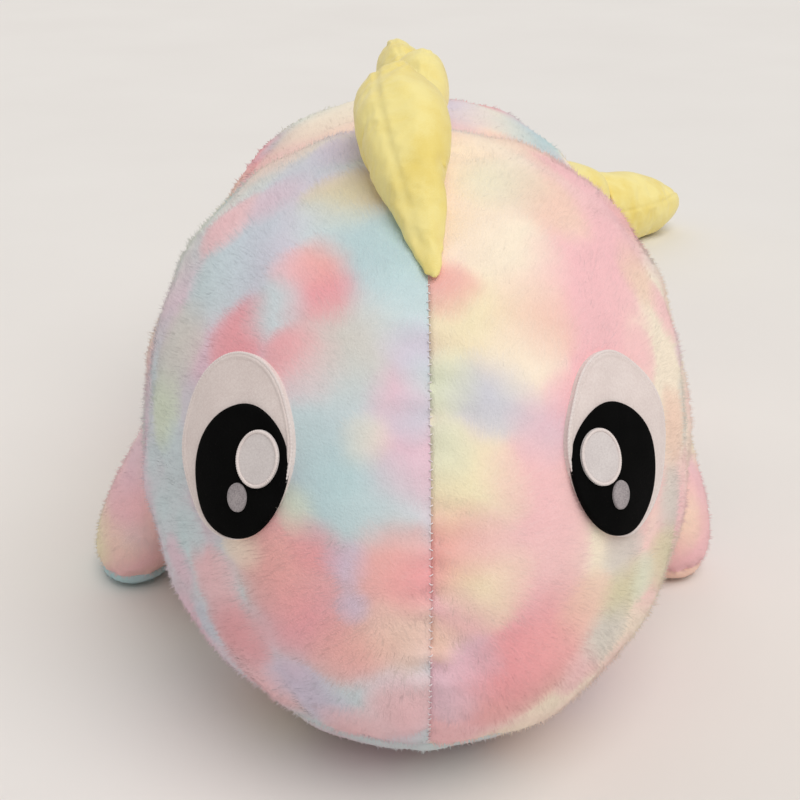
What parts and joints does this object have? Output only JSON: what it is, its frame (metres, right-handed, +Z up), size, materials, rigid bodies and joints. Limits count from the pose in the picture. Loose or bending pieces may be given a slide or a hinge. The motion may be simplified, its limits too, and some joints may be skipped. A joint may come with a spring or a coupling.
{
  "type": "stuffed toy crocodile",
  "caption": "Large stuffed crocodile lying on its belly, with embroidered eyes, sewn-on legs, soft back fins and a side-curled tail; to hug or lean on.",
  "frame": {"origin": "middle of the flat belly, on the level it lies on", "axes": "+Z up, -Y towards the snout, +X towards the crocodile's left side"},
  "size_m": [0.679, 1.4095, 0.4547],
  "materials": {
    "tie_dye_left": "short tie-dyed plush pile",
    "tie_dye_right": "short tie-dyed plush pile",
    "belly_plush": "short tie-dyed plush pile",
    "tail_plush": "short tie-dyed plush pile",
    "leg_plush": "short tie-dyed plush pile",
    "sole_plush": "short plush pile",
    "fin_cloth": "smooth short-nap cloth",
    "eye_white": "smooth white felt",
    "eye_black": "dense black stitching",
    "eye_shine": "white satin stitching",
    "eye_grey": "grey satin stitching",
    "filling": "loose polyester fibre"
  },
  "bodies": {
    "trunk": {"left_body_panel": "tie_dye_left", "right_body_panel": "tie_dye_right", "belly_panel": "belly_plush", "body_stuffing": "filling", "left_eye_patch": "eye_white", "left_eye_pupil": "eye_black", "left_eye_shine": "eye_shine", "left_eye_glint": "eye_grey", "right_eye_patch": "eye_white", "right_eye_pupil": "eye_black", "right_eye_shine": "eye_shine", "right_eye_glint": "eye_grey"},
    "front_right_leg": {"front_right_leg_panel": "leg_plush", "front_right_sole_panel": "sole_plush", "front_right_leg_stuffing": "filling"},
    "front_left_leg": {"front_left_leg_panel": "leg_plush", "front_left_sole_panel": "sole_plush", "front_left_leg_stuffing": "filling"},
    "rear_right_leg": {"rear_right_leg_panel": "leg_plush", "rear_right_sole_panel": "sole_plush", "rear_right_leg_stuffing": "filling"},
    "rear_left_leg": {"rear_left_leg_panel": "leg_plush", "rear_left_sole_panel": "sole_plush", "rear_left_leg_stuffing": "filling"},
    "fin_1": {"fin_1_left_panel": "fin_cloth", "fin_1_right_panel": "fin_cloth", "fin_1_stuffing": "filling"},
    "fin_2": {"fin_2_left_panel": "fin_cloth", "fin_2_right_panel": "fin_cloth", "fin_2_stuffing": "filling"},
    "fin_3": {"fin_3_left_panel": "fin_cloth", "fin_3_right_panel": "fin_cloth", "fin_3_stuffing": "filling"},
    "fin_4": {"fin_4_left_panel": "fin_cloth", "fin_4_right_panel": "fin_cloth", "fin_4_stuffing": "filling"},
    "tail": {"tail_upper_panel": "tail_plush", "tail_lower_panel": "belly_plush", "tail_stuffing": "filling"},
    "tail_tip": {"tail_tip_upper_panel": "fin_cloth", "tail_tip_lower_panel": "fin_cloth", "tail_tip_stuffing": "filling"}
  },
  "joints": [
    {"name": "front_right_leg_lift", "type": "hinge", "parent": "trunk", "child": "front_right_leg", "pos_m": [-0.19348, -0.078, 0.132], "axis": [0, 1, 0], "range_deg": [0, 45], "stiffness_Nm_per_rad": 0.6},
    {"name": "front_left_leg_lift", "type": "hinge", "parent": "trunk", "child": "front_left_leg", "pos_m": [0.19348, -0.078, 0.132], "axis": [0, -1, 0], "range_deg": [0, 45], "stiffness_Nm_per_rad": 0.6},
    {"name": "rear_right_leg_lift", "type": "hinge", "parent": "trunk", "child": "rear_right_leg", "pos_m": [-0.18517, 0.25, 0.132], "axis": [0, 1, 0], "range_deg": [0, 45], "stiffness_Nm_per_rad": 0.6},
    {"name": "rear_left_leg_lift", "type": "hinge", "parent": "trunk", "child": "rear_left_leg", "pos_m": [0.18517, 0.25, 0.132], "axis": [0, -1, 0], "range_deg": [0, 45], "stiffness_Nm_per_rad": 0.6},
    {"name": "fin_1_flop", "type": "hinge", "parent": "trunk", "child": "fin_1", "pos_m": [0, -0.241, 0.40047], "axis": [0, 0.9811, 0.1934], "range_deg": [0, 68], "stiffness_Nm_per_rad": 0.06},
    {"name": "fin_2_flop", "type": "hinge", "parent": "trunk", "child": "fin_2", "pos_m": [0, 0.095, 0.34875], "axis": [0, 0.9988, 0.0498], "range_deg": [-47, 21], "stiffness_Nm_per_rad": 0.06},
    {"name": "fin_3_flop", "type": "hinge", "parent": "trunk", "child": "fin_3", "pos_m": [0, 0.265, 0.33113], "axis": [0, 0.9003, -0.4352], "range_deg": [-22, 46], "stiffness_Nm_per_rad": 0.06},
    {"name": "fin_4_flop", "type": "hinge", "parent": "trunk", "child": "fin_4", "pos_m": [0, 0.395, 0.26718], "axis": [0, 0.9629, -0.2698], "range_deg": [-28, 40], "stiffness_Nm_per_rad": 0.06},
    {"name": "tail_swing", "type": "hinge", "parent": "trunk", "child": "tail", "pos_m": [0, 0.43, 0], "axis": [0, 0, 1], "range_deg": [-20, 20], "stiffness_Nm_per_rad": 3},
    {"name": "tail_tip_swing", "type": "hinge", "parent": "tail", "child": "tail_tip", "pos_m": [0.22564, 0.83706, 0], "axis": [0, 0, 1], "range_deg": [-20, 20], "stiffness_Nm_per_rad": 0.5}
  ]
}
